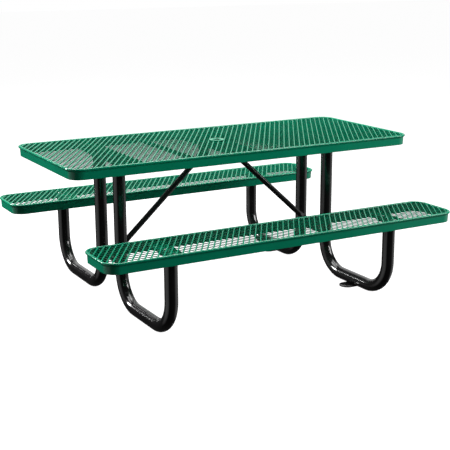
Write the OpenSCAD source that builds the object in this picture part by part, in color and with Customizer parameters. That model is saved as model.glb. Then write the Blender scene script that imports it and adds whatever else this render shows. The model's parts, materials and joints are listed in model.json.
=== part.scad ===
// Rectangular picnic table: a coated expanded-metal top and two benches in
// skirted rims, carried by four U-bent tube legs with crossbars and braces.
// Millimetres. The origin is on the ground under the middle of the top, +X is
// along the table, +Y is towards the back bench and +Z is up.

/* [Top and benches] */
// Length of the top and of both benches
table_l = 1830; // [1500:10:2130]
// Width of the top
top_w = 755; // [700:5:800]
// Height of the top above the ground
top_h = 742; // [720:1:780]
// Width of each bench
bench_w = 288; // [260:2:300]
// Height of each bench above the ground
bench_h = 416; // [400:1:450]
// Overall width over both benches
overall_w = 1484; // [1460:2:1560]

/* [Rims] */
// Depth of the skirt, from the top of the bead to its lower edge
skirt_h = 51; // [38:1:54]
// Diameter of the rounded bead along the top of the rim
bead_d = 12; // [10:1:14]
// Distance from the outside of the bead in to the skirt
skirt_inset = 7; // [5:0.5:8]
// Outside radius of the corners
corner_r = 68; // [60:1:90]

/* [Mesh] */
// Spacing of the diamond openings along the table
pitch_x = 44; // [40:0.5:60]
// Spacing of the diamond openings across the table
pitch_y = 70; // [60:0.5:96]
// Width of the coated strands
strand_w = 9.3; // [6:0.1:14]
// Thickness of the coated mesh
mesh_t = 4.5; // [3:0.1:5]

/* [Umbrella ring] */
// Hole for the umbrella pole
pole_d = 42; // [38:1:46]
// Outside diameter of the ring's flange
ring_d = 76; // [70:1:80]

/* [Legs] */
// Outside diameter of the leg tubes
leg_d = 60; // [50:1:62]
// Wall of the leg tubes
leg_wall = 3; // [2:0.5:5]
// Distance of the leg pairs from the middle of the table
leg_x = 583; // [540:1:620]
// Distance of the inner uprights from the middle
inner_y = 117; // [110:1:130]
// Distance of the outer uprights from the middle
outer_y = 648; // [630:1:660]
// Bend radius of the tube's centreline
bend_r = 155; // [110:5:160]

/* [Braces] */
// Outside diameter of the brace tubes
brace_d = 27; // [22:1:30]
// Outside diameter of the crossbars between the inner uprights
crossbar_d = 38; // [34:1:45]
// Height of the crossbars
crossbar_z = 220; // [200:1:240]

/* [Hidden] */
$fn = 64;
sides = [-1, 1];
slack = 1;

green = [0, 0.42, 0.27];
black = [0.04, 0.04, 0.045];
zinc = [0.72, 0.73, 0.75];

// Rim section, measured outwards from the outside of the bead and up from its top
bead_r = bead_d / 2;
rim_in = 11;
skirt_in = 12;
skirt_slope = 1.5;
lip_r = 1.75;
skirt_top = -9;

// The mesh lies a little below the top of the bead
mesh_drop = 3;
mesh_under = mesh_drop + mesh_t;
mesh_margin = 3;
corner_steps = 16;
keep_land = 6;
keep_r = ring_d / 2 + keep_land;
least_opening = 0.15;
sleeve_d = pole_d + 6;
sleeve_l = 30;

// Channels and flat bars under the mesh
channel_w = 64;
channel_t = 4;
top_channel_h = 34;
seat_channel_h = 18;
bar_x = 38;
bar_h = 35;
bar_t = 5;
rib_x = 302;
rib_h = 19;

// Mounting plates
plate_t = 5;
plate_l = 130;
plate_r = 12;
bolt_step = 46;
bolt_d = 10;
bolt_hole_d = 11;
bolt_tip = 3;
nut_bore = 10.2;
head_af = 16;
head_h = 6.4;
nut_h = 8;
washer_d = 20;
washer_t = 2;
seat_mid = (overall_w - bench_w) / 2;
seat_bolt_mid = outer_y - seat_mid;

top_under = top_h - mesh_under;
bench_under = bench_h - mesh_under;
top_plate_z = top_under - top_channel_h - plate_t;
seat_plate_z = bench_under - seat_channel_h - plate_t;

// Braces run from lugs on the crossbars up to lugs on the bars beside the ring
lug_t = 6;
lug_r = 18;
lug_reach = 42;
upper_x = 80;
upper_drop = 63;
upper_z = top_h - upper_drop;
upper_lug_gap = 4;
upper_lug_top = top_under - upper_lug_gap;
tongue_l = 40;
press_l = 34;
tongue_t = 6;
brace_wall = 2.5;
brace_run = leg_x - upper_x;
brace_rise = upper_z - crossbar_z;
brace_tilt = atan2(brace_rise, brace_run);
brace_len = norm([brace_run, brace_rise]) - lug_reach;

// Anchor tabs at the middle of each ground rail
tab_y = (inner_y + outer_y) / 2;
tab_reach = 45;
tab_start = 6;
tab_r = 38;
tab_t = 6;
tab_hole_d = 14;

// ---------------------------------------------------------------- outlines

// Rounded rectangle as a list of points, for the edge of a mesh
function round_rect(l, w, r) = [
    for (q = [0:3], i = [0:corner_steps])
        let (a = 90 * (q + i / corner_steps),
             sx = q == 0 || q == 3 ? 1 : -1,
             sy = q < 2 ? 1 : -1)
        [sx * (l / 2 - r) + r * cos(a), sy * (w / 2 - r) + r * sin(a)]
];

// The part of a polygon on the near side of the line p * n = d
function clipped(p, n, d) = [
    for (i = [0:1:len(p) - 1])
        let (a = p[i],
             b = p[(i + 1) % len(p)],
             da = a * n - d,
             db = b * n - d)
        each concat(da <= 0 ? [a] : [], da * db < 0 ? [a + (b - a) * da / (da - db)] : [])
];

// A polygon clipped in turn by each line in a list of [normal, distance]
function clip_all(p, lines, i = 0) =
    i >= len(lines) || len(p) < 3 ? p : clip_all(clipped(p, lines[i][0], lines[i][1]), lines, i + 1);

// Lines around a rounded rectangle, with four to each corner
function edge_lines(l, w, r) = [
    for (q = [0:3], i = [0:3])
        let (a = 90 * (q + i / 4),
             sx = q == 0 || q == 3 ? 1 : -1,
             sy = q < 2 ? 1 : -1,
             n = [cos(a), sin(a)])
        [n, n * [sx * (l / 2 - r), sy * (w / 2 - r)] + r]
];

// Area of a polygon
function area(p) = abs(
    [for (i = [0:1:len(p) - 1]) cross(p[i], p[(i + 1) % len(p)])] * [for (q = p) 1]) / 2;

// Diamond openings in rows across the table, every other row moved half a pitch. An opening cut
// short by the edge is kept when enough of it is left.
function openings(l, w, r, keep_r) =
    let (side = sqrt(pitch_x * pitch_x + pitch_y * pitch_y),
         shrink = 1 - strand_w * side / (pitch_x * pitch_y),
         hx = shrink * pitch_x / 2,
         hy = shrink * pitch_y / 2,
         lines = edge_lines(l, w, r),
         rows = ceil(w / pitch_y),
         cols = ceil(l / pitch_x / 2),
         whole = 2 * hx * hy)
    [
        for (j = [-rows:rows], i = [-cols:cols])
            let (x = pitch_x * (i + (j % 2 == 0 ? 0 : 0.5)),
                 y = pitch_y * j / 2,
                 p = clip_all([[x + hx, y], [x, y + hy], [x - hx, y], [x, y - hy]], lines))
            if (len(p) > 2 && norm([x, y]) > keep_r && area(p) > least_opening * whole) p
    ];

// ------------------------------------------------------------ shared shapes

module rim_section() {
    difference() {
        translate([-bead_r, -bead_r]) circle(r = bead_r);
        translate([-bead_d - slack, -bead_d]) square([bead_d + slack - rim_in, bead_d]);
    }
    polygon([
        [-skirt_inset, skirt_top],
        [-skirt_inset - skirt_slope, lip_r - skirt_h],
        [-skirt_in, lip_r - skirt_h],
        [-skirt_in, skirt_top],
    ]);
    translate([-skirt_in + lip_r, lip_r - skirt_h]) circle(r = lip_r);
}

// Mirrors a shape made in the +X +Y quarter into the quarter with these signs
module at_corner(x, y) {
    mirror([x < 0 ? 1 : 0, 0, 0]) mirror([0, y < 0 ? 1 : 0, 0]) children();
}

// A closed rim of the section above, around an l x w rectangle
module rim(l, w) {
    straight_l = l - 2 * corner_r;
    straight_w = w - 2 * corner_r;
    color(green) for (s = sides) {
        rotate(s * 90) translate([w / 2, 0, 0]) rotate([90, 0, 0])
            linear_extrude(straight_l, center = true) rim_section();
        rotate(s * 90 - 90) translate([l / 2, 0, 0]) rotate([90, 0, 0])
            linear_extrude(straight_w, center = true) rim_section();
        for (t = sides) {
            at_corner(s, t) translate([straight_l / 2, straight_w / 2, 0])
                rotate_extrude(angle = 90) translate([corner_r, 0]) rim_section();
        }
    }
}

// Expanded mesh filling an l x w rim, solid within keep_r of its middle
module mesh(l, w, keep_r) {
    inset = rim_in + mesh_margin;
    color(green) translate([0, 0, -mesh_under]) linear_extrude(mesh_t) difference() {
        polygon(round_rect(l - 2 * rim_in, w - 2 * rim_in, corner_r - rim_in));
        for (hole = openings(l - 2 * inset, w - 2 * inset, corner_r - inset, keep_r)) {
            polygon(hole);
        }
    }
}

// Channel along Y, open upwards, with bolt holes through its web
module channel(l, h, bolt_ys) {
    color(green) difference() {
        translate([-channel_w / 2, -l / 2, -h]) cube([channel_w, l, h]);
        translate([channel_t - channel_w / 2, -l / 2 - slack, channel_t - h])
            cube([channel_w - 2 * channel_t, l + 2 * slack, h]);
        for (y = bolt_ys) {
            translate([0, y, -h - slack]) cylinder(d = bolt_hole_d, h = channel_t + 2 * slack);
        }
    }
}

// Flat bar on edge along Y, hanging down from z = 0
module flat_bar(l, h) {
    color(green) translate([-bar_t / 2, -l / 2, -h]) cube([bar_t, l, h]);
}

// Bolted plate on top of an upright, its underside at z = 0
module mount_plate() {
    color(black) linear_extrude(plate_t) difference() {
        union() {
            square([channel_w - 2 * plate_r, plate_l], center = true);
            square([channel_w, plate_l - 2 * plate_r], center = true);
            for (x = sides, y = sides) {
                translate([x * (channel_w / 2 - plate_r), y * (plate_l / 2 - plate_r)])
                    circle(r = plate_r);
            }
        }
        for (y = sides) {
            translate([0, y * bolt_step]) circle(d = bolt_hole_d);
        }
    }
}

module tube_ring() {
    difference() {
        circle(d = leg_d);
        circle(d = leg_d - 2 * leg_wall);
    }
}

// One leg in the +Y half: inner upright, ground rail and outer upright in one tube
module leg() {
    low = leg_d / 2 + bend_r;
    color(black) {
        translate([0, inner_y, low]) linear_extrude(top_plate_z - low) tube_ring();
        translate([0, outer_y, low]) linear_extrude(seat_plate_z - low) tube_ring();
        translate([0, inner_y + bend_r, leg_d / 2]) rotate([-90, 0, 0])
            linear_extrude(outer_y - inner_y - 2 * bend_r) tube_ring();
        translate([0, inner_y + bend_r, low]) rotate([90, 0, 90]) rotate(180)
            rotate_extrude(angle = 90) translate([bend_r, 0]) tube_ring();
        translate([0, outer_y - bend_r, low]) rotate([90, 0, 90]) rotate(270)
            rotate_extrude(angle = 90) translate([bend_r, 0]) tube_ring();
    }
}

// Round bar between the inner uprights, shaped to fit them at its ends
module crossbar() {
    color(black) translate([0, 0, crossbar_z]) difference() {
        rotate([90, 0, 0]) linear_extrude(2 * inner_y, center = true) difference() {
            circle(d = crossbar_d);
            circle(d = crossbar_d - 2 * leg_wall);
        }
        for (s = sides) {
            translate([0, s * inner_y, 0]) cylinder(d = leg_d, h = 2 * crossbar_d, center = true);
        }
    }
}

// Moves to the lower bolt of the brace on the +X side, with X running up the brace
module at_brace() {
    translate([leg_x, 0, crossbar_z]) rotate([90, 0, 180]) rotate(brace_tilt)
        translate([lug_reach, 0, 0]) children();
}

// Round-ended plate on a crossbar that the lower end of a brace bolts to
module lower_lug() {
    color(black) difference() {
        at_brace() translate([0, 0, tongue_t / 2]) linear_extrude(lug_t) difference() {
            union() {
                circle(r = lug_r);
                translate([-lug_reach, -lug_r]) square([lug_reach, 2 * lug_r]);
            }
            circle(d = bolt_hole_d);
        }
        translate([leg_x, 0, crossbar_z]) rotate([90, 0, 0])
            cylinder(d = crossbar_d, h = crossbar_d, center = true);
    }
}

// Plate on a centre bar that the upper end of a brace bolts to
module upper_lug() {
    root_x = bar_x + bar_t;
    reach_x = upper_x - root_x;
    color(black) translate([0, tongue_t / 2 + lug_t, 0]) rotate([90, 0, 0])
        linear_extrude(lug_t) difference() {
            union() {
                translate([upper_x, upper_z]) circle(r = lug_r);
                translate([root_x, upper_z - lug_r]) square([reach_x, 2 * lug_r]);
                translate([root_x, upper_z]) square([reach_x + lug_r, upper_lug_top - upper_z]);
            }
            translate([upper_x, upper_z]) circle(d = bolt_hole_d);
        }
}

// One end of a brace: a drilled tongue, then the tube opening out from it
module brace_end() {
    translate([0, 0, -tongue_t / 2]) linear_extrude(tongue_t) difference() {
        union() {
            circle(r = lug_r);
            translate([0, -lug_r]) square([tongue_l, 2 * lug_r]);
        }
        circle(d = bolt_hole_d);
    }
    intersection() {
        translate([tongue_l - slack, 0, 0]) rotate([0, 90, 0]) cylinder(d = brace_d, h = press_l);
        rotate([90, 0, 0]) linear_extrude(brace_d, center = true) polygon([
            [tongue_l - slack, -tongue_t / 2],
            [tongue_l + press_l, -brace_d / 2],
            [tongue_l + press_l, brace_d / 2],
            [tongue_l - slack, tongue_t / 2],
        ]);
    }
}

module brace() {
    open_x = tongue_l + press_l - 2 * slack;
    color(black) at_brace() {
        brace_end();
        translate([brace_len, 0, 0]) rotate([0, 0, 180]) brace_end();
        translate([open_x, 0, 0]) rotate([0, 90, 0]) linear_extrude(brace_len - 2 * open_x) difference() {
            circle(d = brace_d);
            circle(d = brace_d - 2 * brace_wall);
        }
    }
}

// Round-ended tab on the ground at the middle of a rail, on its inner side
module anchor_tab() {
    color(black) difference() {
        translate([leg_x, tab_y, 0]) linear_extrude(tab_t) difference() {
            union() {
                translate([-tab_reach, 0]) circle(r = tab_r);
                translate([-tab_reach, -tab_r]) square([tab_reach - tab_start, 2 * tab_r]);
            }
            translate([-tab_reach, 0]) circle(d = tab_hole_d);
        }
        translate([leg_x, tab_y, leg_d / 2]) rotate([90, 0, 0])
            cylinder(d = leg_d, h = 2 * leg_d + tab_r, center = true);
    }
}

// Flanged hexagon bolt with its head below z = 0 and its shank above
module bolt(grip) {
    color(zinc) {
        translate([0, 0, -washer_t - head_h]) cylinder(d = head_af / cos(30), h = head_h, $fn = 6);
        translate([0, 0, -washer_t]) cylinder(d = washer_d, h = washer_t);
        translate([0, 0, -slack]) cylinder(d = bolt_d, h = grip + nut_h + bolt_tip + slack);
    }
}

// Flanged hexagon nut sitting on z = 0
module nut() {
    color(zinc) difference() {
        union() {
            cylinder(d = head_af / cos(30), h = nut_h, $fn = 6);
            cylinder(d = washer_d, h = washer_t);
        }
        translate([0, 0, -slack]) cylinder(d = nut_bore, h = nut_h + 2 * slack);
    }
}

// Copies at the two bolt holes of every mounting plate centred on |y| = from_y
module at_plate_bolts(from_y, z) {
    for (x = sides, y = sides, step = sides) {
        translate([x * leg_x, y * from_y + step * bolt_step, z]) children();
    }
}

// Copies at both ends of both braces, z running back through tongue and lug
module at_brace_bolts(z) {
    for (s = sides) {
        at_corner(s, 1) at_brace() for (x = [0, brace_len]) {
            translate([x, 0, z]) children();
        }
    }
}

// ---------------------------------------------------------------- sub-parts

module tabletop_rim() {
    translate([0, 0, top_h]) rim(table_l, top_w);
}

module tabletop_mesh() {
    difference() {
        translate([0, 0, top_h]) mesh(table_l, top_w, keep_r);
        translate([0, 0, top_under - slack]) cylinder(d = sleeve_d, h = mesh_t + 2 * slack);
    }
}

// Flanged sleeve for an umbrella pole, its flange lying on the mesh
module umbrella_ring() {
    color(green) translate([0, 0, top_h]) rotate_extrude() polygon([
        [pole_d / 2, 0],
        [ring_d / 2, 0],
        [ring_d / 2, -mesh_drop],
        [sleeve_d / 2, -mesh_drop],
        [sleeve_d / 2, -sleeve_l],
        [pole_d / 2, -sleeve_l],
    ]);
}

module top_channel() {
    translate([leg_x, 0, top_under]) channel(top_w - 2 * skirt_in, top_channel_h,
        [for (y = sides, step = sides) y * inner_y + step * bolt_step]);
}

module left_top_channel() {
    at_corner(-1, 1) top_channel();
}

module right_top_channel() {
    at_corner(1, 1) top_channel();
}

// Flat bar across the underside of the top at x
module top_bar(x, h) {
    translate([x, 0, top_under]) flat_bar(top_w - 2 * skirt_in, h);
}

module left_top_rib() {
    top_bar(-rib_x, rib_h);
}

module right_top_rib() {
    top_bar(rib_x, rib_h);
}

module left_centre_bar() {
    top_bar(-bar_x - bar_t / 2, bar_h);
}

module right_centre_bar() {
    top_bar(bar_x + bar_t / 2, bar_h);
}

module front_bench_rim() {
    translate([0, -seat_mid, bench_h]) rim(table_l, bench_w);
}

module front_bench_mesh() {
    translate([0, -seat_mid, bench_h]) mesh(table_l, bench_w, 0);
}

module back_bench_rim() {
    translate([0, seat_mid, bench_h]) rim(table_l, bench_w);
}

module back_bench_mesh() {
    translate([0, seat_mid, bench_h]) mesh(table_l, bench_w, 0);
}

module seat_channel() {
    translate([leg_x, seat_mid, bench_under]) channel(bench_w - 2 * skirt_in, seat_channel_h,
        [for (step = sides) seat_bolt_mid + step * bolt_step]);
}

module front_left_seat_channel() {
    at_corner(-1, -1) seat_channel();
}

module front_right_seat_channel() {
    at_corner(1, -1) seat_channel();
}

module back_left_seat_channel() {
    at_corner(-1, 1) seat_channel();
}

module back_right_seat_channel() {
    at_corner(1, 1) seat_channel();
}

module front_left_leg() {
    at_corner(-1, -1) translate([leg_x, 0, 0]) leg();
}

module front_right_leg() {
    at_corner(1, -1) translate([leg_x, 0, 0]) leg();
}

module back_left_leg() {
    at_corner(-1, 1) translate([leg_x, 0, 0]) leg();
}

module back_right_leg() {
    at_corner(1, 1) translate([leg_x, 0, 0]) leg();
}

module front_left_top_plate() {
    at_corner(-1, -1) translate([leg_x, inner_y, top_plate_z]) mount_plate();
}

module front_right_top_plate() {
    at_corner(1, -1) translate([leg_x, inner_y, top_plate_z]) mount_plate();
}

module back_left_top_plate() {
    at_corner(-1, 1) translate([leg_x, inner_y, top_plate_z]) mount_plate();
}

module back_right_top_plate() {
    at_corner(1, 1) translate([leg_x, inner_y, top_plate_z]) mount_plate();
}

module front_left_seat_plate() {
    at_corner(-1, -1) translate([leg_x, outer_y, seat_plate_z]) mount_plate();
}

module front_right_seat_plate() {
    at_corner(1, -1) translate([leg_x, outer_y, seat_plate_z]) mount_plate();
}

module back_left_seat_plate() {
    at_corner(-1, 1) translate([leg_x, outer_y, seat_plate_z]) mount_plate();
}

module back_right_seat_plate() {
    at_corner(1, 1) translate([leg_x, outer_y, seat_plate_z]) mount_plate();
}

module left_crossbar() {
    at_corner(-1, 1) translate([leg_x, 0, 0]) crossbar();
}

module right_crossbar() {
    at_corner(1, 1) translate([leg_x, 0, 0]) crossbar();
}

module left_lower_lug() {
    at_corner(-1, 1) lower_lug();
}

module right_lower_lug() {
    at_corner(1, 1) lower_lug();
}

module left_upper_lug() {
    at_corner(-1, 1) upper_lug();
}

module right_upper_lug() {
    at_corner(1, 1) upper_lug();
}

module left_brace() {
    at_corner(-1, 1) brace();
}

module right_brace() {
    at_corner(1, 1) brace();
}

module front_left_anchor_tab() {
    at_corner(-1, -1) anchor_tab();
}

module front_right_anchor_tab() {
    at_corner(1, -1) anchor_tab();
}

module back_left_anchor_tab() {
    at_corner(-1, 1) anchor_tab();
}

module back_right_anchor_tab() {
    at_corner(1, 1) anchor_tab();
}

module top_plate_bolts() {
    at_plate_bolts(inner_y, top_plate_z) bolt(plate_t + channel_t);
}

module top_plate_nuts() {
    at_plate_bolts(inner_y, top_plate_z + plate_t + channel_t) nut();
}

module seat_plate_bolts() {
    at_plate_bolts(outer_y, seat_plate_z) bolt(plate_t + channel_t);
}

module seat_plate_nuts() {
    at_plate_bolts(outer_y, seat_plate_z + plate_t + channel_t) nut();
}

module brace_bolts() {
    at_brace_bolts(-tongue_t / 2) bolt(tongue_t + lug_t);
}

module brace_nuts() {
    at_brace_bolts(tongue_t / 2 + lug_t) nut();
}

// ---------------------------------------------------------------- assembly

tabletop_rim();
tabletop_mesh();
umbrella_ring();
left_top_channel();
right_top_channel();
left_top_rib();
right_top_rib();
left_centre_bar();
right_centre_bar();
front_bench_rim();
front_bench_mesh();
back_bench_rim();
back_bench_mesh();
front_left_seat_channel();
front_right_seat_channel();
back_left_seat_channel();
back_right_seat_channel();
front_left_leg();
front_right_leg();
back_left_leg();
back_right_leg();
front_left_top_plate();
front_right_top_plate();
back_left_top_plate();
back_right_top_plate();
front_left_seat_plate();
front_right_seat_plate();
back_left_seat_plate();
back_right_seat_plate();
left_crossbar();
right_crossbar();
left_lower_lug();
right_lower_lug();
left_upper_lug();
right_upper_lug();
left_brace();
right_brace();
front_left_anchor_tab();
front_right_anchor_tab();
back_left_anchor_tab();
back_right_anchor_tab();
top_plate_bolts();
top_plate_nuts();
seat_plate_bolts();
seat_plate_nuts();
brace_bolts();
brace_nuts();
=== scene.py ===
import json
import math

import bmesh
import bpy
from mathutils import Matrix, Vector


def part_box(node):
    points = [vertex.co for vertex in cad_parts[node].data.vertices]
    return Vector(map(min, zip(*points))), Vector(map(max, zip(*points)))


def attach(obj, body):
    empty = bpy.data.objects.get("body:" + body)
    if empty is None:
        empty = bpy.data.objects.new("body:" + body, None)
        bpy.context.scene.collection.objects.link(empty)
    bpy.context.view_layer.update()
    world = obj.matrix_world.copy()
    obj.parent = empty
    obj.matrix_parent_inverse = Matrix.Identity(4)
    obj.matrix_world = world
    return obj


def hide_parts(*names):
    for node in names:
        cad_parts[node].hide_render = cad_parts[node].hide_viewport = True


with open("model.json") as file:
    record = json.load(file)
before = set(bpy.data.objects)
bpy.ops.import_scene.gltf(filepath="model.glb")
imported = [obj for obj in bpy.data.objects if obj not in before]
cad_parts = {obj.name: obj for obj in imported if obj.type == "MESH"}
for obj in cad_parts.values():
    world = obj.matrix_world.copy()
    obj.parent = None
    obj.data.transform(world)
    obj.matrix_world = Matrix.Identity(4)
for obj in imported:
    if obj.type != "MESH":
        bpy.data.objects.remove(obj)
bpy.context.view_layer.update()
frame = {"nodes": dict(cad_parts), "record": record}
MM = 0.001

# ------------------------------------------------------------------ materials


class Nodes:
    """One node-based material, with its textures laid out by position in space."""

    def __init__(self, name):
        self.mat = bpy.data.materials.new(name)
        self.mat.use_nodes = True
        self.tree = self.mat.node_tree
        self.tree.nodes.clear()
        self.bsdf = self.add("ShaderNodeBsdfPrincipled")
        self.link(self.bsdf.outputs["BSDF"], self.add("ShaderNodeOutputMaterial").inputs["Surface"])
        self.position = self.add("ShaderNodeNewGeometry").outputs["Position"]

    def add(self, kind):
        return self.tree.nodes.new(kind)

    def link(self, a, b):
        self.tree.links.new(a, b)

    def noise(self, scale, detail=3.0, rough=0.5):
        """A cloudy value with this many waves to the metre, or so."""
        node = self.add("ShaderNodeTexNoise")
        node.inputs["Scale"].default_value = scale
        node.inputs["Detail"].default_value = detail
        node.inputs["Roughness"].default_value = rough
        self.link(self.position, node.inputs["Vector"])
        return node.outputs["Fac"]

    def ramp(self, fac, stops):
        """A colour from (place on the ramp, colour) stops."""
        node = self.add("ShaderNodeValToRGB")
        ramp = node.color_ramp
        while len(ramp.elements) < len(stops):
            ramp.elements.new(0.5)
        for element, (at, colour) in zip(ramp.elements, stops):
            element.position = at
            element.color = (*colour, 1.0)
        self.link(fac, node.inputs["Fac"])
        return node.outputs["Color"]

    def span(self, fac, low, high, start, end):
        """A value from low to high, as fac goes from start to end."""
        node = self.add("ShaderNodeMapRange")
        for key, value in (("From Min", start), ("From Max", end), ("To Min", low), ("To Max", high)):
            node.inputs[key].default_value = value
        self.link(fac, node.inputs["Value"])
        return node.outputs["Result"]

    def bump(self, height, strength, distance, base=None):
        """A bumped normal, on top of another one if base is given."""
        node = self.add("ShaderNodeBump")
        node.inputs["Strength"].default_value = strength
        node.inputs["Distance"].default_value = distance
        self.link(height, node.inputs["Height"])
        if base is not None:
            self.link(base, node.inputs["Normal"])
        return node.outputs["Normal"]

    def feed(self, **outputs):
        """Links node outputs to the shader's inputs of these names."""
        for key, output in outputs.items():
            self.link(output, self.bsdf.inputs[key.replace("_", " ")])

    def set(self, **values):
        """Sets the shader's own values of these names."""
        for key, value in values.items():
            self.bsdf.inputs[key.replace("_", " ")].default_value = value


def green_coating():
    """Thick glossy plastic coating over steel, with its slight flow and orange peel."""
    n = Nodes("green_coating")
    tone = n.ramp(n.noise(7.0, 4.0), [(0.3, (0.0, 0.195, 0.104)), (0.7, (0.0, 0.225, 0.12))])
    rough = n.span(n.noise(60.0), 0.14, 0.24, 0.3, 0.7)
    flow = n.bump(n.noise(35.0, 2.0), 0.18, 1.2 * MM)
    peel = n.bump(n.noise(420.0, 2.0), 0.12, 0.4 * MM, flow)
    n.feed(Base_Color=tone, Roughness=rough, Normal=peel)
    n.set(Specular_IOR_Level=0.3)
    return n.mat


def black_coating():
    """Glossy black powder coat, with fine orange peel and slightly uneven gloss."""
    n = Nodes("black_coating")
    tone = n.ramp(n.noise(12.0, 4.0), [(0.3, (0.004, 0.004, 0.0045)), (0.75, (0.008, 0.0075, 0.0075))])
    rough = n.span(n.noise(20.0, 4.0, 0.6), 0.12, 0.18, 0.3, 0.75)
    flow = n.bump(n.noise(18.0, 2.0), 0.08, 1.0 * MM)
    peel = n.bump(n.noise(600.0, 2.0), 0.08, 0.3 * MM, flow)
    n.feed(Base_Color=tone, Roughness=rough, Normal=peel)
    n.set(Coat_Weight=0.25, Coat_Roughness=0.06)
    return n.mat


def zinc_plate():
    """Bright zinc on the bolts and nuts, clouded in its colour and its dullness."""
    n = Nodes("zinc_plate")
    cloud = n.noise(150.0, 5.0, 0.65)
    tone = n.ramp(cloud, [(0.25, (0.42, 0.43, 0.44)), (0.7, (0.66, 0.67, 0.69))])
    rough = n.span(cloud, 0.26, 0.5, 0.3, 0.7)
    n.feed(Base_Color=tone, Roughness=rough, Normal=n.bump(n.noise(900.0), 0.2, 0.2 * MM))
    n.set(Metallic=1.0)
    return n.mat


def pale_floor():
    """A floor that glows white by itself, so that it meets the backdrop, and takes only faint shadows."""
    n = Nodes("pale_floor")
    n.feed(Base_Color=n.ramp(n.noise(2.0, 2.0), [(0.2, (0.20, 0.20, 0.20)), (0.8, (0.21, 0.21, 0.21))]))
    n.set(Roughness=0.9, Specular_IOR_Level=0.0, Emission_Color=(1.0, 1.0, 1.0, 1.0), Emission_Strength=0.95)
    return n.mat


SLOT_MATERIAL = {"green_coating": green_coating(), "black_coating": black_coating(), "zinc_plate": zinc_plate()}
SLOTS = {row["node"]: row["material_slot"] for row in frame["record"]["subparts"]}

# ------------------------------------------------------------------ mesh tools

SHARP = 50              # degrees over which an edge isn't shaded smooth
PRESSED_SHARP = 40      # the same on plates and channels
TURNED_SHARP = 25       # the same on bolts and nuts
SAME_POINT = 0.01 * MM  # points closer than this are one point


def place(obj, slot, stands_for):
    """Puts an object in the scene in its slot's finish, riding on the table."""
    bpy.context.scene.collection.objects.link(obj)
    obj.data.materials.append(SLOT_MATERIAL[slot])
    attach(obj, "root")
    if stands_for:
        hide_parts(*stands_for)


def piece(name, verts, faces, slot, stands_for=(), sharp=SHARP):
    """Makes one smooth-shaded object from points and faces."""
    mesh = bpy.data.meshes.new(name)
    mesh.from_pydata([tuple(v) for v in verts], [], [tuple(f) for f in faces])
    shape = bmesh.new()
    shape.from_mesh(mesh)
    bmesh.ops.recalc_face_normals(shape, faces=shape.faces)
    shape.to_mesh(mesh)
    shape.free()
    mesh.shade_smooth()
    mesh.set_sharp_from_angle(angle=math.radians(sharp))
    place(bpy.data.objects.new(name, mesh), slot, stands_for)


def box(node):
    """Lowest and highest corner of a CAD node."""
    low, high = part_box(node)
    return Vector(low), Vector(high)


def cad_shape(node):
    """A CAD node's mesh, to be worked on as a copy, with its points joined up."""
    shape = bmesh.new()
    shape.from_mesh(frame["nodes"][node].data)
    bmesh.ops.remove_doubles(shape, verts=shape.verts, dist=SAME_POINT)
    return shape


def sweep(rings, closed=False):
    """Joins rings of points, each as long as the next, into a tube, capped unless it is closed."""
    k = len(rings[0])
    verts = [point for ring in rings for point in ring]
    last = len(rings) if closed else len(rings) - 1
    faces = []
    for i in range(last):
        j = (i + 1) % len(rings)
        for a in range(k):
            b = (a + 1) % k
            faces.append((i * k + a, i * k + b, j * k + b, j * k + a))
    if not closed:
        faces.append(tuple(range(k - 1, -1, -1)))
        faces.append(tuple((len(rings) - 1) * k + a for a in range(k)))
    return verts, faces


def joined(parts):
    """Several lists of points and faces as one."""
    verts, faces = [], []
    for more, rows in parts:
        base = len(verts)
        verts.extend(more)
        faces.extend(tuple(base + i for i in row) for row in rows)
    return verts, faces


def turns(count):
    """Angles all the way round, in equal steps."""
    return [2 * math.pi * i / count for i in range(count)]


def circle(radius, sides):
    """Points round a circle, as pairs."""
    return [(radius * math.cos(a), radius * math.sin(a)) for a in turns(sides)]


def ring_at(point, u, v, section):
    """A section's points, laid out from a point along two directions."""
    return [point + u * a + v * b for a, b in section]


# ------------------------------------------------------------------------ rims

CORNER_R = 68 * MM
CORNER_STEPS = 20
MESH_EDGE = 11 * MM      # from the rim's outside to the edge of the mesh
BEAD_R = 6 * MM
BEAD_END = -58           # where the bead turns into the groove, in degrees from straight out
BEAD_STEPS = 24
# the rest of the rim's section, as (outwards, up) from its outside and top
GROOVE = (-6.6 * MM, -12.6 * MM)
GROOVE_STEPS = 8
SKIRT_TOP = (-7.2 * MM, -17 * MM)
SKIRT_LEAN = 1.3 * MM    # how far the skirt leans in by its foot
SKIRT_STEPS = 6
INSIDE = -12 * MM        # the skirt's inner face
INSIDE_FOOT = -24 * MM
INSIDE_TOP = -11.5 * MM
INSIDE_EDGE = (-11.7 * MM, -10.2 * MM)
LIP_R = 1.75 * MM
LIP_STEPS = 10


def round_rect(l, w, r, steps):
    """Points and outward normals round a rounded rectangle."""
    points = []
    for q in range(4):
        sx = 1 if q in (0, 3) else -1
        sy = 1 if q < 2 else -1
        centre = (sx * (l / 2 - r), sy * (w / 2 - r))
        for i in range(steps + 1):
            a = math.radians(90 * (q + i / steps))
            n = (math.cos(a), math.sin(a))
            points.append(((centre[0] + r * n[0], centre[1] + r * n[1]), n))
    return points


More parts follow.
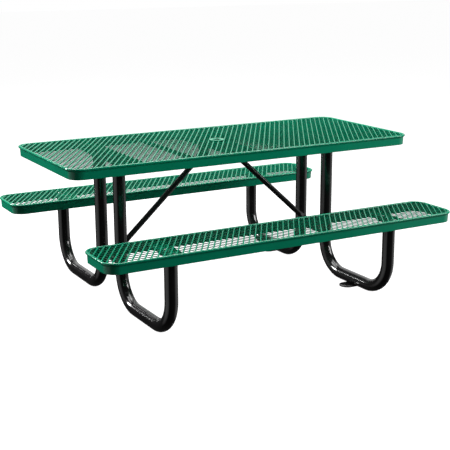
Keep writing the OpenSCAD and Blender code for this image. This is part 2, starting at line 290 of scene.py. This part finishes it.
def rim_profile(depth):
    """Closed loop of (outwards, up) from the outside and top of the bead: bead, groove, skirt, lip."""
    loop = []
    start = math.degrees(math.acos((BEAD_R - MESH_EDGE) / BEAD_R))
    for i in range(BEAD_STEPS + 1):
        a = math.radians(start + (BEAD_END - start) * i / BEAD_STEPS)
        loop.append((BEAD_R * (math.cos(a) - 1), BEAD_R * (math.sin(a) - 1)))
    bead_foot = loop[-1]
    for i in range(1, GROOVE_STEPS + 1):
        t = i / GROOVE_STEPS
        curve = zip(bead_foot, GROOVE, SKIRT_TOP)
        loop.append(tuple((1 - t) ** 2 * p + 2 * t * (1 - t) * q + t * t * s for p, q, s in curve))
    for i in range(1, SKIRT_STEPS):
        t = i / SKIRT_STEPS
        loop.append((SKIRT_TOP[0] - SKIRT_LEAN * t, SKIRT_TOP[1] + (LIP_R - depth - SKIRT_TOP[1]) * t))
    for i in range(LIP_STEPS + 1):
        a = -math.pi * i / LIP_STEPS
        loop.append((INSIDE + LIP_R + LIP_R * math.cos(a), LIP_R - depth + LIP_R * math.sin(a)))
    return loop + [(INSIDE, INSIDE_FOOT), (INSIDE, INSIDE_TOP), INSIDE_EDGE]


def rim(name):
    """The coated steel round a top or bench, down to the lip of its skirt."""
    low, high = box(name)
    centre = (low + high) / 2
    size = high - low
    profile = rim_profile(size.z)
    rings = []
    for p, n in round_rect(size.x, size.y, CORNER_R, CORNER_STEPS):
        rings.append([(centre.x + p[0] + n[0] * s, centre.y + p[1] + n[1] * s, high.z + z) for s, z in profile])
    verts, faces = sweep(rings, closed=True)
    piece(name + "_coated", verts, faces, "green_coating", (name,))


# ------------------------------------------------------------- expanded meshes

PITCH_X = 29.3 * MM
PITCH_Y = 46.5 * MM
STRAND_W = 6.0 * MM
STRAND_T = 4.3 * MM
STRAND_SIDES = 12
STRAND_CORNER = 0.5      # the power that makes a strand's section a rounded bar: 1 is an ellipse
SHORTEST_STRAND = 4 * MM
ON_EDGE = 1e-9           # a crossing this close to the end of a side counts
TILT = math.radians(-25) # of the strands' flat faces, about Y
RING_SPACE_R = 37 * MM   # the strands stop this far from the middle of the umbrella ring


def clip_line(p, d, l, w, r):
    """The stretch of the slanted line p + t d inside a rounded rectangle, as (t0, t1), or None."""
    ts = []
    inner = (l / 2 - r, w / 2 - r)
    # where it crosses the straight sides
    for axis, half in ((0, l / 2), (1, w / 2)):
        for side in (-1, 1):
            t = (side * half - p[axis]) / d[axis]
            other = p[1 - axis] + t * d[1 - axis]
            if abs(other) <= inner[1 - axis] + ON_EDGE:
                ts.append(t)
    # where it crosses the corners' arcs
    for sx in (-1, 1):
        for sy in (-1, 1):
            c = (sx * inner[0], sy * inner[1])
            e = (p[0] - c[0], p[1] - c[1])
            b = e[0] * d[0] + e[1] * d[1]
            disc = b * b - (e[0] ** 2 + e[1] ** 2 - r * r)
            if disc > 0:
                for root in (-1, 1):
                    t = -b + root * math.sqrt(disc)
                    x, y = p[0] + t * d[0], p[1] + t * d[1]
                    if (x - c[0]) * sx > -ON_EDGE and (y - c[1]) * sy > -ON_EDGE:
                        ts.append(t)
    if len(ts) < 2 or max(ts) - min(ts) < SHORTEST_STRAND:
        return None
    return min(ts), max(ts)


def strand_section():
    """A rounded bar's section as (across, up)."""
    out = []
    for i in range(STRAND_SIDES):
        a = 2 * math.pi * (i + 0.5) / STRAND_SIDES
        c, s = math.cos(a), math.sin(a)
        x = STRAND_W / 2 * math.copysign(abs(c) ** STRAND_CORNER, c)
        y = STRAND_T / 2 * math.copysign(abs(s) ** STRAND_CORNER, s)
        out.append((x, y))
    return out


def strand(centre, level, p, d, span, section):
    """A strand over a span of the line p + t d, tilted as in pulled metal."""
    n = (d[1], -d[0])
    # the metal tilts about Y, so a strand leans by its share across it
    lean = n[0]
    cos_t, sin_t = math.cos(TILT), math.sin(TILT)
    rings = []
    for t in span:
        ring = []
        for across, up in section:
            x = across * (1 - lean * lean * (1 - cos_t))
            u = up + across * lean * sin_t
            ring.append((
                centre.x + p[0] + t * d[0] + n[0] * x,
                centre.y + p[1] + t * d[1] + n[1] * x,
                level + u,
            ))
        rings.append(ring)
    return sweep(rings)


def expanded_mesh(name, hole_r=0.0):
    """Two families of straight strands that cross at the mesh's knuckles, cut to the inside of the rim."""
    low, high = box(name)
    centre = (low + high) / 2
    l, w = high.x - low.x, high.y - low.y
    level = (low.z + high.z) / 2
    section = strand_section()
    strands = []
    length = math.hypot(PITCH_X, PITCH_Y)
    reach = int((l + w) / PITCH_X) + 2
    for sign in (-1, 1):
        d = (sign * PITCH_X / length, PITCH_Y / length)
        for i in range(-reach, reach + 1):
            # strands run half a cell away from the middles of the openings
            p = ((i + 0.5) * PITCH_X, 0.0)
            # the line's closest point to the centre keeps its parameter small
            t0 = -(p[0] * d[0] + p[1] * d[1])
            p = (p[0] + t0 * d[0], p[1] + t0 * d[1])
            found = clip_line(p, d, l, w, CORNER_R - MESH_EDGE)
            if not found:
                continue
            spans = [found]
            away = math.hypot(*p)
            if away < hole_r:
                cut = math.sqrt(hole_r ** 2 - away ** 2)
                spans = [(found[0], -cut), (cut, found[1])]
            strands.extend(strand(centre, level, p, d, span, section) for span in spans)
    verts, faces = joined(strands)
    piece(name + "_coated", verts, faces, "green_coating", (name,))


# ------------------------------------------------------- tubes and weld beads

LEG_BEND = 155 * MM
BEND_STEPS = 24
TUBE_SIDES = 40
CROSSBAR_R = 19 * MM
WELD_R = 3.2 * MM
WELD_SIDES = 10
WELD_SWELL = 0.10        # how much a bead's ripples change its thickness
WELD_STEP = 3 * MM       # half of a ripple, in length
WELD_OUT = 0.8 * MM      # from a tube's surface to the middle of its bead
WELD_DROP = 1.2 * MM     # from a leg's end down to the middle of its bead


def weld(points, outs, ups):
    """A rippled bead along a closed line of points, with a direction out and up at each."""
    rings = []
    for i, (point, out, up) in enumerate(zip(points, outs, ups)):
        swell = 1 + WELD_SWELL * math.cos(math.pi * i)
        rings.append(ring_at(point, out, up, circle(WELD_R * swell, WELD_SIDES)))
    return sweep(rings, closed=True)


def weld_ring(centre, radius):
    """A bead round an upright tube."""
    count = 2 * round(2 * math.pi * radius / WELD_STEP)
    outs = [Vector((math.cos(a), math.sin(a), 0)) for a in turns(count)]
    up = Vector((0, 0, 1))
    return weld([centre + out * radius for out in outs], outs, [up] * count)


def leg(corner):
    """One U-bent tube, from its top plate down, along the ground and up to its seat plate."""
    low, high = box(corner + "_leg")
    x = (low.x + high.x) / 2
    r = (high.x - low.x) / 2
    side = 1 if high.y > 0 else -1
    inner_y = min(abs(low.y), abs(high.y)) + r
    outer_y = max(abs(low.y), abs(high.y)) - r
    inner_top = box(corner + "_top_plate")[0].z
    outer_top = box(corner + "_seat_plate")[0].z
    bend_z = r + LEG_BEND
    stations = [(inner_y, inner_top, 0.0)]
    for start_y, start_turn in ((inner_y + LEG_BEND, 0), (outer_y - LEG_BEND, 90)):
        for i in range(BEND_STEPS + 1):
            turn = math.radians(start_turn + 90 * i / BEND_STEPS)
            stations.append((start_y - LEG_BEND * math.cos(turn), bend_z - LEG_BEND * math.sin(turn), turn))
    stations.append((outer_y, outer_top, math.pi))
    rings = []
    for y, z, turn in stations:
        across = Vector((0, side * math.cos(turn), math.sin(turn)))
        rings.append(ring_at(Vector((x, side * y, z)), Vector((1, 0, 0)), across, circle(r, TUBE_SIDES)))
    verts, faces = sweep(rings)
    piece(corner + "_leg_tube", verts, faces, "black_coating", (corner + "_leg",))
    beads = []
    for y, top in ((inner_y, inner_top), (outer_y, outer_top)):
        beads.append(weld_ring(Vector((x, side * y, top - WELD_DROP)), r + WELD_OUT))
    verts, faces = joined(beads)
    piece(corner + "_leg_welds", verts, faces, "black_coating")


def crossbar(side):
    """Tube between two uprights, shaped to their curve and welded all round."""
    low, high = box(side + "_crossbar")
    centre = (low + high) / 2
    front_low, front_high = box("front_" + side + "_leg")
    leg_r = (front_high.x - front_low.x) / 2
    inner_y = -front_high.y + leg_r
    outs = [Vector((math.cos(a), 0, math.sin(a))) for a in turns(TUBE_SIDES)]
    along = [Vector((0, 1, 0))] * TUBE_SIDES
    rings, beads = [], []
    for end in (-1, 1):
        ring = []
        for x, z in circle(CROSSBAR_R, TUBE_SIDES):
            reach = inner_y - math.sqrt(leg_r ** 2 - x ** 2)
            ring.append(Vector((centre.x + x, end * reach, centre.z + z)))
        rings.append(ring)
        beads.append(weld([p + out * WELD_OUT for p, out in zip(ring, outs)], outs, along))
    verts, faces = sweep(rings)
    piece(side + "_crossbar_tube", verts, faces, "black_coating", (side + "_crossbar",))
    verts, faces = joined(beads)
    piece(side + "_crossbar_welds", verts, faces, "black_coating")


# --------------------------------------------- pressed plates, channels and bars

EDGE_ROUND = 1.2 * MM    # how wide the coating rounds an edge
EDGE_SEGMENTS = 2
EDGE_PROFILE = 0.6
ROUND_OVER = 28          # degrees over which an edge is rounded
FLAT_WITHIN = 1.0        # degrees within which neighbouring faces become one


def softened(node):
    """The same part with its sharp edges rounded by the coating over them."""
    shape = cad_shape(node)
    bmesh.ops.dissolve_limit(shape, angle_limit=math.radians(FLAT_WITHIN), verts=shape.verts, edges=shape.edges)
    limit = math.radians(ROUND_OVER)
    edges = [e for e in shape.edges if len(e.link_faces) == 2 and e.calc_face_angle(0.0) > limit]
    bmesh.ops.bevel(shape, geom=edges, affect="EDGES", offset=EDGE_ROUND, offset_type="OFFSET",
                    segments=EDGE_SEGMENTS, profile=EDGE_PROFILE, clamp_overlap=True)
    mesh = bpy.data.meshes.new(node + "_coated")
    shape.to_mesh(mesh)
    shape.free()
    mesh.shade_smooth()
    mesh.set_sharp_from_angle(angle=math.radians(PRESSED_SHARP))
    place(bpy.data.objects.new(node + "_coated", mesh), SLOTS[node], (node,))


# ------------------------------------------------------------------- fasteners

HEX_FLAT = 16 * MM
HEX_SIDES = 48           # points round a bolt or nut
CHAMFER_R = 0.95 * HEX_FLAT / 2
CHAMFER_ANGLE = 30
CHAMFER_STEPS = 4
HEAD_H = 6.4 * MM
FLANGE_R = 10 * MM
FLANGE_T = 2 * MM
FLANGE_SOFT = 0.5 * MM
BOLT_R = 5 * MM
THREAD = 1.5 * MM
THREAD_DEPTH = 0.75 * MM
THREAD_STEPS = 6         # levels in one turn of the thread
TIP_L = 0.5 * MM
TIP_R = BOLT_R - 1.2 * MM
NUT_SLACK = 0.1 * MM


def loose_parts(node):
    """Lowest and highest corner of each separate solid in a CAD node."""
    shape = cad_shape(node)
    seen, boxes = set(), []
    for first in shape.verts:
        if first in seen:
            continue
        seen.add(first)
        group, edge = [], [first]
        while edge:
            vert = edge.pop()
            group.append(vert.co)
            for link in vert.link_edges:
                other = link.other_vert(vert)
                if other not in seen:
                    seen.add(other)
                    edge.append(other)
        boxes.append(tuple(Vector([pick(co[i] for co in group) for i in range(3)]) for pick in (min, max)))
    shape.free()
    return boxes


def turned(levels, closed=False):
    """A stack of rings round Z: each level is a height and a function of angle that gives the radius."""
    rings = []
    for z, radius in levels:
        rings.append([Vector((radius(a) * math.cos(a), radius(a) * math.sin(a), z)) for a in turns(HEX_SIDES)])
    return sweep(rings, closed)


def hexagon(limit):
    """Radius of a hexagon across the flats, cut back to a limit by the chamfer."""
    def radius(a):
        off = (a % (math.pi / 3)) - math.pi / 6
        return min(HEX_FLAT / 2 / math.cos(off), limit)
    return radius


def plain(r):
    """The same radius at every angle."""
    return lambda a: r


def chamfered_hex(base, top):
    """Levels of a hexagon between two heights with its corners chamfered at the top."""
    corner = HEX_FLAT / 2 / math.cos(math.pi / 6)
    drop = (corner - CHAMFER_R) * math.tan(math.radians(CHAMFER_ANGLE))
    step = math.copysign(1, top - base)
    levels = [(base, hexagon(corner))]
    for i in range(CHAMFER_STEPS + 1):
        share = i / CHAMFER_STEPS
        limit = corner + (CHAMFER_R - corner) * share
        levels.append((top - step * drop * (1 - share), hexagon(limit)))
    return levels


def flange(base, top):
    """Levels of a round washer face with soft edges."""
    r = FLANGE_R
    step = math.copysign(FLANGE_SOFT, top - base)
    return [(base, plain(r - FLANGE_SOFT)), (base + step, plain(r)), (top - step, plain(r)),
            (top, plain(r - FLANGE_SOFT))]


def screw_thread(base, top):
    """Levels of a rolled thread that winds up a shank, and of the tip past it."""
    def cut(z):
        def radius(a):
            wave = abs(((z / THREAD - a / (2 * math.pi)) % 1.0) * 2 - 1)
            return BOLT_R - THREAD_DEPTH * wave
        return radius
    count = round((top - base) / THREAD * THREAD_STEPS)
    heights = [base + (top - base) * i / count for i in range(count + 1)]
    return [(z, cut(z)) for z in heights] + [(top + TIP_L, plain(TIP_R))]


def bolt_shape(length):
    """A flanged bolt from its head, at height 0, to its tip."""
    head = chamfered_hex(HEAD_H, 0.0)[::-1]
    neck = HEAD_H + FLANGE_T
    return turned(head + flange(HEAD_H, neck) + screw_thread(neck, length - TIP_L))


def nut_shape(length):
    """A flanged nut from its flange, at height 0, with a plain bore."""
    bore = plain(BOLT_R + NUT_SLACK)
    outside = flange(0.0, FLANGE_T) + chamfered_hex(FLANGE_T, length)
    return turned(outside + [(length, bore), (0.0, bore)], closed=True)


def fasteners(node, shape, pick):
    """Puts a bolt or nut in each separate solid of a node, along its longest or shortest side, Y or Z."""
    made = []
    for low, high in loose_parts(node):
        size = high - low
        axis = list(size).index(pick(size))
        verts, faces = shape(size[axis])
        centre = (low + high) / 2
        if axis == 2:
            verts = [Vector((centre.x + v.x, centre.y + v.y, low.z + v.z)) for v in verts]
        else:
            verts = [Vector((centre.x + v.y, low.y + v.z, centre.z + v.x)) for v in verts]
        made.append((verts, faces))
    verts, faces = joined(made)
    piece(node + "_turned", verts, faces, "zinc_plate", (node,), TURNED_SHARP)


# ---------------------------------------------------------------------- braces

BRACE_R = 13.5 * MM
TONGUE_R = 18 * MM       # half the width of a pressed end, and the radius of its round tip
TONGUE_T = 6 * MM
TONGUE_L = 40 * MM       # from the bolt to where the tube starts to open
TONGUE_STEPS = 8
PRESS_L = 40 * MM        # from there to the round tube
PRESS_STEPS = 12
ROUND_POWER = 2.0        # a superellipse's power for a circle
FLAT_POWER = 5.0         # and for a flat bar with round edges


def squashed(width, depth, power, sides):
    """A superellipse's points."""
    out = []
    for a, b in circle(1.0, sides):
        fall = (abs(a) ** power + abs(b) ** power) ** (-1 / power)
        out.append((width * a * fall, depth * b * fall))
    return out


def brace(side):
    """Tube pressed flat at both ends and bolted to its lugs."""
    sign = 1 if side == "right" else -1
    ends = [(low + high) / 2 for low, high in loose_parts("brace_bolts") if sign * (low.x + high.x) > 0]
    low_end, high_end = sorted(ends, key=lambda p: p.z)
    low_end = Vector((low_end.x, 0, low_end.z))
    high_end = Vector((high_end.x, 0, high_end.z))
    along = (high_end - low_end).normalized()
    length = (high_end - low_end).length
    across = Vector((-along.z, 0, along.x))
    half = []
    for i in range(1, TONGUE_STEPS + 1):
        a = math.pi / 2 * i / TONGUE_STEPS
        half.append((-TONGUE_R * math.cos(a), TONGUE_R * math.sin(a), TONGUE_T / 2, FLAT_POWER))
    half.append((TONGUE_L, TONGUE_R, TONGUE_T / 2, FLAT_POWER))
    for i in range(1, PRESS_STEPS + 1):
        t = i / PRESS_STEPS
        ease = t * t * (3 - 2 * t)
        width = TONGUE_R + (BRACE_R - TONGUE_R) * ease
        depth = TONGUE_T / 2 + (BRACE_R - TONGUE_T / 2) * ease
        power = FLAT_POWER - (FLAT_POWER - ROUND_POWER) * ease ** 0.5
        half.append((TONGUE_L + PRESS_L * t, width, depth, power))
    stations = half + [(length - s, w, d, p) for s, w, d, p in reversed(half)]
    rings = []
    for s, width, depth, power in stations:
        section = squashed(width, depth, power, TUBE_SIDES)
        rings.append(ring_at(low_end + along * s, across, Vector((0, 1, 0)), section))
    verts, faces = sweep(rings)
    piece(side + "_brace_tube", verts, faces, "black_coating", (side + "_brace",))


# --------------------------------------------------------------- umbrella ring

POLE_R = 21 * MM
SLEEVE_R = 24 * MM
RING_TOP_T = 3 * MM      # the flat ring on top of the sleeve
RING_SOFT = 1.3 * MM
RING_SIDES = 72


def arc(centre, radius, start, end, steps=5):
    """Points along an arc between two angles in degrees, as pairs."""
    angles = [math.radians(start + (end - start) * i / steps) for i in range(steps + 1)]
    return [(centre[0] + radius * math.cos(a), centre[1] + radius * math.sin(a)) for a in angles]


def umbrella_ring():
    """A flat ring with a short sleeve under it, all of its edges softened."""
    low, high = box("umbrella_ring")
    r = (high.x - low.x) / 2
    soft = RING_SOFT
    top, under, end = high.z, high.z - RING_TOP_T, low.z
    profile = arc((r - soft, top - soft), soft, 90, 0)
    profile += arc((r - soft, under + soft), soft, 0, -90)
    profile += [(SLEEVE_R + soft, under)]
    profile += arc((SLEEVE_R + soft, under - soft), soft, 90, 180)
    profile += arc((SLEEVE_R - soft, end + soft), soft, 0, -90)
    profile += arc((POLE_R + soft, end + soft), soft, 270, 180)
    profile += arc((POLE_R + soft, top - soft), soft, 180, 90)
    middle, up = Vector((0, 0, 0)), Vector((0, 0, 1))
    outs = [Vector((math.cos(a), math.sin(a), 0)) for a in turns(RING_SIDES)]
    verts, faces = sweep([ring_at(middle, out, up, profile) for out in outs], closed=True)
    piece("umbrella_ring_coated", verts, faces, "green_coating", ("umbrella_ring",))


# ---------------------------------------------------------------- the whole table

for part in ("tabletop", "front_bench", "back_bench"):
    rim(part + "_rim")
expanded_mesh("tabletop_mesh", RING_SPACE_R)
expanded_mesh("front_bench_mesh")
expanded_mesh("back_bench_mesh")
for row in ("front", "back"):
    for side in ("left", "right"):
        leg(row + "_" + side)
        for part in ("top_plate", "seat_plate", "seat_channel", "anchor_tab"):
            softened(row + "_" + side + "_" + part)
for side in ("left", "right"):
    crossbar(side)
    brace(side)
    for part in ("top_channel", "top_rib", "centre_bar", "lower_lug", "upper_lug"):
        softened(side + "_" + part)
for group in ("top_plate", "seat_plate", "brace"):
    fasteners(group + "_bolts", bolt_shape, max)
    fasteners(group + "_nuts", nut_shape, min)
umbrella_ring()

# ------------------------------------------------------- floor, lights, camera

FLOOR_REACH = 30
WHITE = (1.0, 1.0, 1.0, 1.0)

corners = [(-FLOOR_REACH, -FLOOR_REACH, 0), (FLOOR_REACH, -FLOOR_REACH, 0),
           (FLOOR_REACH, FLOOR_REACH, 0), (-FLOOR_REACH, FLOOR_REACH, 0)]
floor_mesh = bpy.data.meshes.new("studio_floor")
floor_mesh.from_pydata(corners, [], [(0, 1, 2, 3)])
floor = bpy.data.objects.new("studio_floor", floor_mesh)
bpy.context.scene.collection.objects.link(floor)
floor_mesh.materials.append(pale_floor())
# the floor neither lights the table nor shows in its gloss
floor.visible_diffuse = False
floor.visible_glossy = False

# The backdrop looks white, but the table is lit by a dim room with a bright patch high behind it
# and dimmer ones low to its left and right. Each glow is a direction, how near to it the glow
# starts and is full, as cosines, and its brightness.
ROOM_LIGHT = 0.03
GLOWS = (
    ((0.45, 0.75, 0.48), 0.80, 0.97, 1.0),
    ((-0.97, 0.20, -0.20), 0.75, 0.95, 0.6),
    ((0.96, -0.20, -0.20), 0.75, 0.95, 0.6),
)
world = bpy.data.worlds.new("studio")
bpy.context.scene.world = world
world.use_nodes = True
sky = world.node_tree
sky.nodes.clear()


def sky_node(kind, **inputs):
    """Adds a node to the world, with these input values."""
    node = sky.nodes.new(kind)
    for key, value in inputs.items():
        node.inputs[key.replace("_", " ")].default_value = value
    return node


backdrop = sky_node("ShaderNodeBackground", Color=WHITE)
room = sky_node("ShaderNodeBackground", Color=WHITE)
towards = sky_node("ShaderNodeTexCoord")
level = None
for direction, start, full, strength in GLOWS:
    near = sky_node("ShaderNodeVectorMath")
    near.operation = "DOT_PRODUCT"
    near.inputs[1].default_value = direction
    sky.links.new(towards.outputs["Generated"], near.inputs[0])
    glow = sky_node("ShaderNodeMapRange", From_Min=start, From_Max=full, To_Min=0.0, To_Max=strength)
    sky.links.new(near.outputs["Value"], glow.inputs["Value"])
    # each glow is added to the sum so far, which starts from the room's own light
    total = sky_node("ShaderNodeMath")
    total.inputs[1].default_value = ROOM_LIGHT
    if level is not None:
        sky.links.new(level, total.inputs[1])
    sky.links.new(glow.outputs["Result"], total.inputs[0])
    level = total.outputs["Value"]
rays = sky_node("ShaderNodeLightPath")
mix = sky_node("ShaderNodeMixShader")
sky.links.new(level, room.inputs["Strength"])
sky.links.new(rays.outputs["Is Camera Ray"], mix.inputs["Fac"])
sky.links.new(room.outputs["Background"], mix.inputs[1])
sky.links.new(backdrop.outputs["Background"], mix.inputs[2])
sky.links.new(mix.outputs["Shader"], sky_node("ShaderNodeOutputWorld").inputs["Surface"])

LIT_POINT = Vector((0, 0, 0.5))


def softbox(name, spot, size, watts):
    """A rectangular light at a spot, aimed at the middle of the table."""
    data = bpy.data.lights.new(name, "AREA")
    data.shape = "RECTANGLE"
    data.size, data.size_y = size
    data.energy = watts
    lamp = bpy.data.objects.new(name, data)
    bpy.context.scene.collection.objects.link(lamp)
    lamp.location = spot
    lamp.rotation_euler = (LIT_POINT - Vector(spot)).to_track_quat("-Z", "Y").to_euler()


softbox("softbox_top", (0.3, 1.2, 4.4), (5.0, 3.0), 400)
softbox("softbox_left", (-3.3, 3.4, 2.6), (1.6, 1.3), 360)
softbox("softbox_right", (3.6, -3.2, 2.6), (3.0, 2.5), 240)

CAMERA_SPOT = (-2.415, -4.411, 1.593)
CAMERA_TURN = -29.14     # degrees round the upright, from facing the back
CAMERA_DROP = 14.41      # degrees below level
CAMERA_ROLL = -0.29      # degrees about the line of sight
camera_data = bpy.data.cameras.new("camera")
camera_data.lens = 81.78
camera_data.sensor_width = 36.0
camera = bpy.data.objects.new("camera", camera_data)
bpy.context.scene.collection.objects.link(camera)
camera.matrix_world = (
    Matrix.Translation(CAMERA_SPOT)
    @ Matrix.Rotation(math.radians(CAMERA_TURN), 4, "Z")
    @ Matrix.Rotation(math.radians(90 - CAMERA_DROP), 4, "X")
    @ Matrix.Rotation(math.radians(CAMERA_ROLL), 4, "Z")
)
bpy.context.scene.camera = camera
bpy.context.scene.view_settings.view_transform = "Standard"
